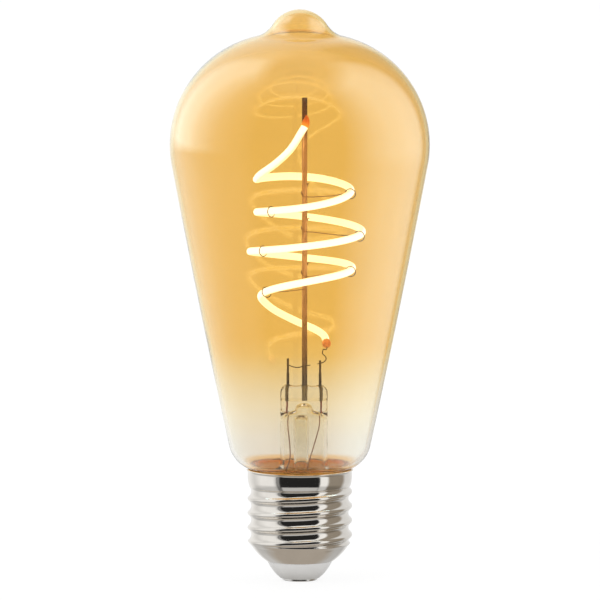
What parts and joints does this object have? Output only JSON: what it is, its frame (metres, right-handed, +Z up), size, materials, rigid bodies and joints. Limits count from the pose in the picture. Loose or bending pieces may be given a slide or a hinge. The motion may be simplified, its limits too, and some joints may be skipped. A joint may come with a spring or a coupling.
{
  "type": "smart light bulb",
  "caption": "Pear-shaped amber glass filament lamp with a spiral LED filament on a mast, a glass stem and an E27 screw cap that holds a driver and a radio.",
  "frame": {"origin": "centre of the underside of the cap's centre contact", "axes": "+Z up the bulb's axis from the contact to the pip, +X to the side where the right-hand lead stands, seen from the front (-Y)"},
  "size_m": [0.065, 0.065, 0.1434],
  "materials": {
    "amber_glass": "polished clear glass with an amber tint that fades out towards the cap",
    "stem_glass": "clear fire-polished glass",
    "mast_metal": "drawn rod, slightly oxidised",
    "tab_metal": "stamped strip",
    "silicone_glow": "matte silicone, lit from inside",
    "strip_film": "white flexible circuit film",
    "chip_die": "small clear-coated chips",
    "bead_silicone": "translucent orange silicone",
    "support_metal": "fine drawn wire",
    "lead_metal": "dull nickel wire",
    "dumet_copper": "reddish copper-clad wire",
    "copper_wire": "bare copper wire",
    "cap_nickel": "nickel-plated, bright",
    "insulator_white": "smooth white",
    "contact_metal": "nickel-plated, satin",
    "cement_amber": "orange-brown cured cement",
    "sleeve_plastic": "moulded white plastic",
    "board_green": "solder resist over laminate",
    "can_blue": "shrink sleeve over a can",
    "chip_black": "moulded epoxy",
    "ferrite": "sintered ferrite",
    "winding_enamel": "enamelled copper wire",
    "resistor_body": "lacquered body",
    "shield_tin": "stamped tin plate",
    "antenna_ceramic": "white ceramic block",
    "tinned_wire": "tinned copper wire"
  },
  "bodies": {
    "root": {"glass_envelope": "amber_glass", "stem_flare": "stem_glass", "stem_press": "stem_glass", "exhaust_tube": "stem_glass", "support_mast": "mast_metal", "filament_tab": "tab_metal", "filament_silicone": "silicone_glow", "filament_strip": "strip_film", "filament_chips": "chip_die", "filament_end_top": "bead_silicone", "filament_end_bottom": "bead_silicone", "support_right_1": "support_metal", "support_right_2": "support_metal", "support_right_3": "support_metal", "support_left_1": "support_metal", "support_left_2": "support_metal", "support_left_3": "support_metal", "inner_lead_left": "lead_metal", "inner_lead_right": "lead_metal", "dumet_left": "dumet_copper", "dumet_right": "dumet_copper", "outer_lead_left": "copper_wire", "outer_lead_right": "copper_wire", "jumper_wire": "lead_metal", "hook_wire": "lead_metal", "screw_shell": "cap_nickel", "cap_insulator": "insulator_white", "centre_contact": "contact_metal", "capping_cement": "cement_amber", "driver_holder": "sleeve_plastic", "driver_board": "board_green", "electrolytic_capacitor": "can_blue", "bridge_rectifier": "chip_black", "inductor_core": "ferrite", "inductor_winding": "winding_enamel", "driver_chip": "chip_black", "fuse_resistor": "resistor_body", "radio_board": "board_green", "radio_shield": "shield_tin", "radio_antenna": "antenna_ceramic", "live_wire": "tinned_wire", "neutral_wire": "tinned_wire"}
  },
  "joints": []
}
